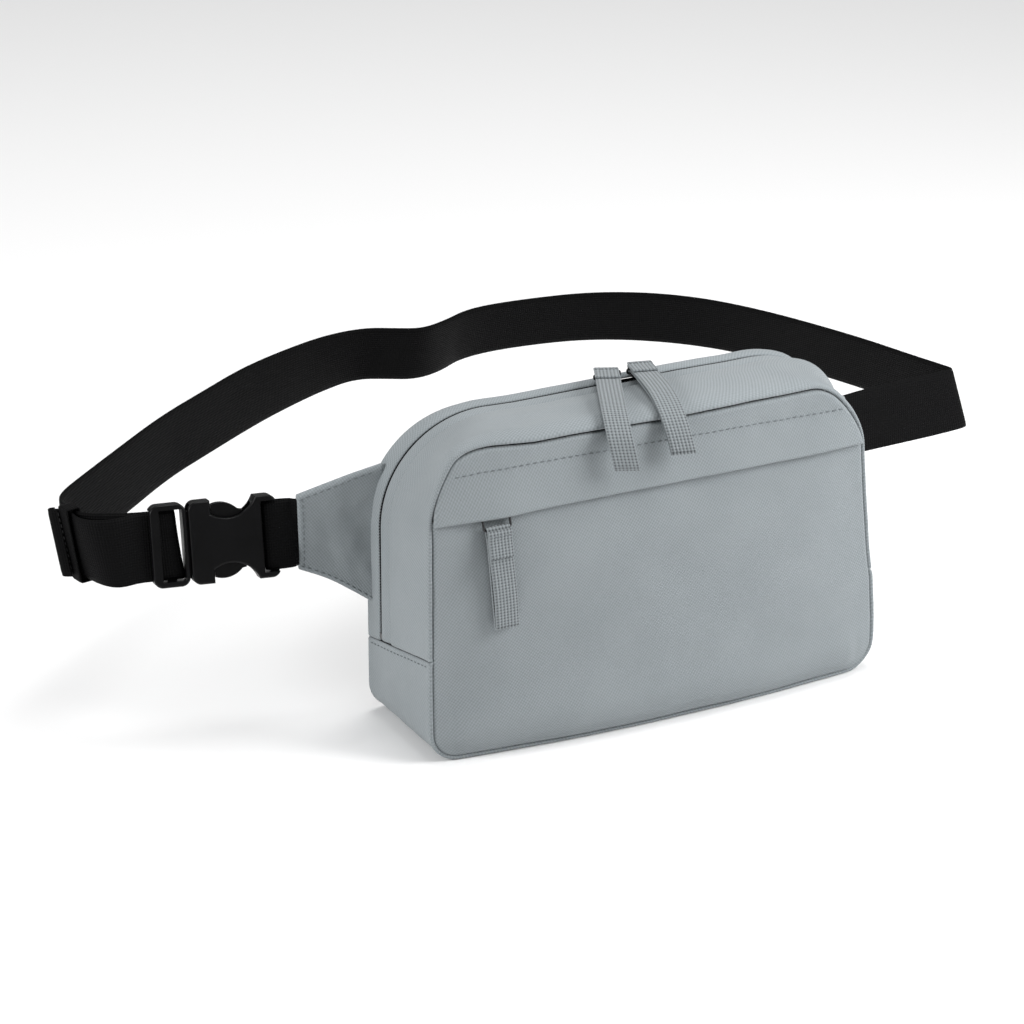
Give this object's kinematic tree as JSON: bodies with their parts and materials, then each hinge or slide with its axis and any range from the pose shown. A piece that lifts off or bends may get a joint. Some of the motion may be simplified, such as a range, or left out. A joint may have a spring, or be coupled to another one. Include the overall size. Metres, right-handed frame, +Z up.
{
  "type": "belt bag",
  "caption": "Small zipped belt bag with a flat front pocket under a flap, on a looped webbing belt closed by a side-release buckle.",
  "frame": {"origin": "middle of the bag's flat bottom, midway between its front and back faces and level with the surface it stands on", "axes": "+Z up, -Y towards the front pocket, +X towards the wearer's left when worn in front"},
  "size_m": [0.4353, 0.2601, 0.1475],
  "materials": {
    "grey_cloth": "woven polyester",
    "back_mesh": "spacer mesh",
    "lining_cloth": "plain lining",
    "binding_tape": "binding tape",
    "zip_tape": "woven tape",
    "zip_teeth": "nylon coil",
    "slider_metal": "black enamel",
    "puller_webbing": "ribbed tape",
    "belt_webbing": "ribbed webbing",
    "buckle_plastic": "moulded satin"
  },
  "bodies": {
    "bag": {"front_panel_lower": "grey_cloth", "front_panel_upper": "grey_cloth", "pocket_lining": "lining_cloth", "back_panel": "back_mesh", "front_gusset": "grey_cloth", "zip_welt": "grey_cloth", "back_gusset": "grey_cloth", "bottom_gusset": "grey_cloth", "seam_binding_front": "binding_tape", "seam_binding_back": "binding_tape", "main_zip_tape_front": "zip_tape", "main_zip_tape_back": "zip_tape", "main_zip_teeth_left": "zip_teeth", "main_zip_teeth_right": "zip_teeth", "main_zip_stops": "zip_teeth", "pocket_zip_tape_lower": "zip_tape", "pocket_zip_tape_upper": "zip_tape", "pocket_zip_teeth": "zip_teeth", "pocket_zip_stops": "zip_teeth", "wing_left": "grey_cloth", "wing_right": "grey_cloth", "webbing_loop": "belt_webbing", "buckle_female": "buckle_plastic", "belt_back": "belt_webbing", "belt_buckle_end": "belt_webbing"},
    "zip_runner_left": {"main_slider_left": "slider_metal"},
    "zip_runner_right": {"main_slider_right": "slider_metal"},
    "pull_left": {"main_puller_left": "puller_webbing"},
    "pull_right": {"main_puller_right": "puller_webbing"},
    "pocket_runner": {"pocket_slider": "slider_metal"},
    "pocket_pull": {"pocket_puller": "puller_webbing"},
    "male_half": {"buckle_male": "buckle_plastic", "adjuster_turn": "belt_webbing", "belt_tail": "belt_webbing"},
    "prong_top": {"prong_upper": "buckle_plastic"},
    "prong_bottom": {"prong_lower": "buckle_plastic"},
    "keeper_loop": {"keeper": "belt_webbing"}
  },
  "joints": [
    {"name": "main_zip_left", "type": "slide", "parent": "bag", "child": "zip_runner_left", "axis": [-1, 0, 0], "range_m": [0, 0.045]},
    {"name": "main_zip_right", "type": "slide", "parent": "bag", "child": "zip_runner_right", "axis": [1, 0, 0], "range_m": [0, 0.031]},
    {"name": "main_pull_left", "type": "hinge", "parent": "zip_runner_left", "child": "pull_left", "pos_m": [0.0015, 0.019, 0.1453], "axis": [-1, 0, 0], "range_deg": [0, 100]},
    {"name": "main_pull_right", "type": "hinge", "parent": "zip_runner_right", "child": "pull_right", "pos_m": [0.018, 0.019, 0.1453], "axis": [-1, 0, 0], "range_deg": [0, 100]},
    {"name": "pocket_zip", "type": "slide", "parent": "bag", "child": "pocket_runner", "axis": [1, 0, 0], "range_m": [0, 0.156]},
    {"name": "pocket_pull", "type": "hinge", "parent": "pocket_runner", "child": "pocket_pull", "pos_m": [-0.078, -0.035, 0.1065], "axis": [-1, 0, 0], "range_deg": [0, 80]},
    {"name": "buckle_release", "type": "slide", "parent": "bag", "child": "male_half", "axis": [-0.9774, 0.2113, 0], "range_m": [0, 0.034], "deforming": ["belt_buckle_end"]},
    {"name": "prong_top_squeeze", "type": "hinge", "parent": "male_half", "child": "prong_top", "pos_m": [-0.18282, 0.04615, 0.10063], "axis": [0.2041, 0.9441, -0.2588], "range_deg": [0, 7], "stiffness_Nm_per_rad": 0.6},
    {"name": "prong_bottom_squeeze", "type": "hinge", "parent": "male_half", "child": "prong_bottom", "pos_m": [-0.18402, 0.04059, 0.07938], "axis": [-0.2041, -0.9441, 0.2588], "range_deg": [0, 7], "stiffness_Nm_per_rad": 0.6},
    {"name": "keeper_slide", "type": "slide", "parent": "male_half", "child": "keeper_loop", "axis": [-0.2249, 0.9744, 0], "range_m": [-0.003, 0.0005]}
  ],
  "couplings": [
    {"joint": "prong_bottom_squeeze", "follows": "prong_top_squeeze", "ratio": 1}
  ]
}
